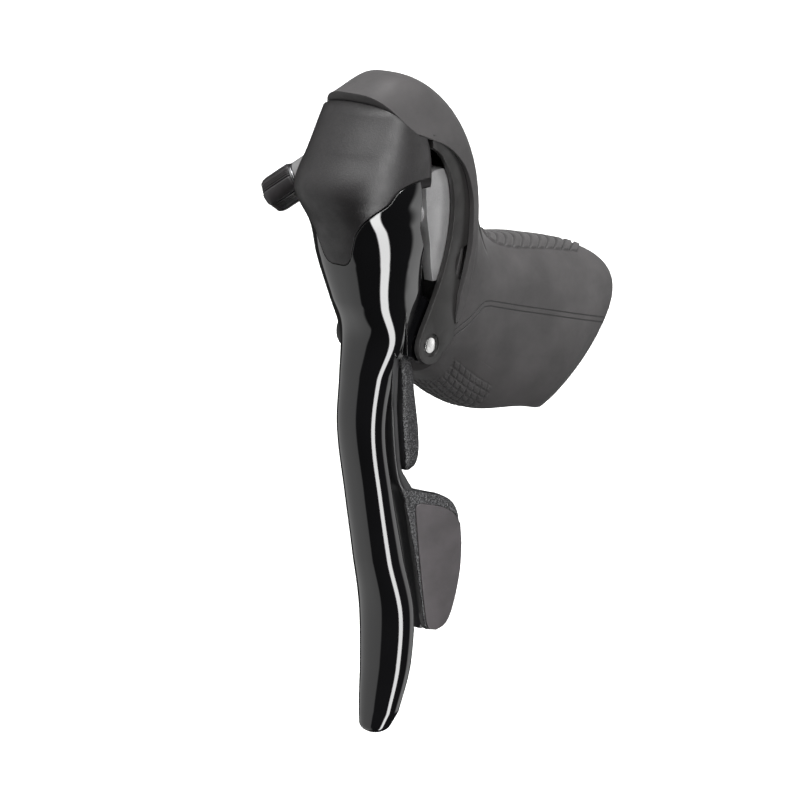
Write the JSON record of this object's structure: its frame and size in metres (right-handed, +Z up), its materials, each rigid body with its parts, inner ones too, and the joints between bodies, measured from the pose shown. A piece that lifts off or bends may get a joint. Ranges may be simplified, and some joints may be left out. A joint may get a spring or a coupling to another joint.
{
  "type": "brake shift lever",
  "caption": "Left drop-bar brake and shift lever: rubber hood, curved gloss brake lever, two shift paddles behind it, barrel adjuster and handlebar clamp band.",
  "frame": {"origin": "on the handlebar's axis, at the middle of the clamp band", "axes": "+X forwards along the bicycle, +Y outboard to the rider's left, +Z up with the lever hanging as it is used"},
  "size_m": [0.1006, 0.0483, 0.1747],
  "materials": {
    "hood_rubber": "matte, ribbed along the top and gridded underneath",
    "bracket_plastic": "satin moulded composite",
    "stainless": "brushed",
    "zinc_steel": "dull plated",
    "black_steel": "black oxide",
    "bright_steel": "polished",
    "black_plastic": "moulded",
    "gloss_black": "polished black",
    "grained_black": "fine grain, soft sheen",
    "satin_grey": "satin grey",
    "bronze": "sintered bronze",
    "spring_steel": "drawn wire",
    "spool_plastic": "moulded",
    "paddle_black": "grained with smooth edges",
    "pad_rubber": "smooth matte grey",
    "knob_plastic": "ribbed"
  },
  "bodies": {
    "bracket": {"hood_cover": "hood_rubber", "bracket_body": "bracket_plastic", "clamp_band": "stainless", "clamp_nut": "zinc_steel", "clamp_bolt": "black_steel", "pivot_pin": "bright_steel", "pivot_clip": "zinc_steel", "brake_cable_guide": "black_plastic"},
    "lever": {"brake_lever": "gloss_black", "name_plate": "grained_black", "name_plate_screw": "zinc_steel", "shift_housing": "satin_grey", "housing_posts": "bright_steel", "post_screws": "zinc_steel", "front_plate": "zinc_steel", "pivot_bushes": "bronze", "shift_axle": "bright_steel", "axle_nut": "zinc_steel", "release_spring": "spring_steel", "pull_spring": "spring_steel", "lever_return_spring": "spring_steel", "hold_pawl_pin": "bright_steel", "adjuster_boss": "satin_grey", "adjuster_detent": "spring_steel", "reach_screw": "black_steel"},
    "hook": {"cable_hook": "bright_steel"},
    "spool": {"cable_spool": "spool_plastic", "ratchet_wheel": "bright_steel"},
    "hold": {"hold_pawl": "zinc_steel"},
    "pull": {"pull_paddle": "paddle_black", "pull_pad": "pad_rubber", "drive_pawl_pin": "bright_steel"},
    "drive": {"drive_pawl": "zinc_steel"},
    "release": {"release_paddle": "paddle_black"},
    "adjuster_screw": {"adjuster_barrel": "bright_steel"},
    "adjuster": {"adjuster_knob": "knob_plastic"}
  },
  "joints": [
    {"name": "brake_pull", "type": "hinge", "parent": "bracket", "child": "lever", "pos_m": [0.0605, 0, 0.012], "axis": [0, 1, 0], "range_deg": [0, 20], "stiffness_Nm_per_rad": 0.6, "springref_deg": -34.38},
    {"name": "hook_turn", "type": "hinge", "parent": "lever", "child": "hook", "pos_m": [0.0558, 0, 0.0325], "axis": [0, 1, 0], "range_deg": [-20.5, 0.5]},
    {"name": "pull_swing", "type": "hinge", "parent": "lever", "child": "pull", "pos_m": [0.067, 0, 0.056], "axis": [-1, 0, 0], "range_deg": [0, 14], "stiffness_Nm_per_rad": 0.25, "springref_deg": -28.65},
    {"name": "spool_turn", "type": "hinge", "parent": "lever", "child": "spool", "pos_m": [0.072, 0, 0.056], "axis": [-1, 0, 0], "range_deg": [-0.5, 14.5]},
    {"name": "drive_pawl_lift", "type": "hinge", "parent": "pull", "child": "drive", "pos_m": [0.069, 0.0088, 0.0636], "axis": [1, 0, 0], "range_deg": [0, 10], "stiffness_Nm_per_rad": 0.004, "springref_deg": -22.92},
    {"name": "release_swing", "type": "hinge", "parent": "lever", "child": "release", "pos_m": [0.0646, 0, 0.056], "axis": [-1, 0, 0], "range_deg": [0, 10], "stiffness_Nm_per_rad": 0.2, "springref_deg": -28.65},
    {"name": "hold_pawl_lift", "type": "hinge", "parent": "lever", "child": "hold", "pos_m": [0.069, -0.0084, 0.0652], "axis": [1, 0, 0], "range_deg": [-0.5, 10.5]},
    {"name": "adjuster_out", "type": "slide", "parent": "lever", "child": "adjuster_screw", "axis": [0.3201, -0.754, -0.5736], "range_m": [0, 0.0024]},
    {"name": "adjuster_turn", "type": "hinge", "parent": "adjuster_screw", "child": "adjuster", "pos_m": [0.074, -0.024, 0.05], "axis": [0.3201, -0.754, -0.5736], "range_deg": [-10, 1090]}
  ],
  "couplings": [
    {"joint": "hook_turn", "follows": "brake_pull", "ratio": -1},
    {"joint": "spool_turn", "follows": "pull_swing", "ratio": 1},
    {"joint": "hold_pawl_lift", "follows": "release_swing", "ratio": 1},
    {"joint": "adjuster_turn", "follows": "adjuster_out", "rad_per_m": 7854}
  ]
}
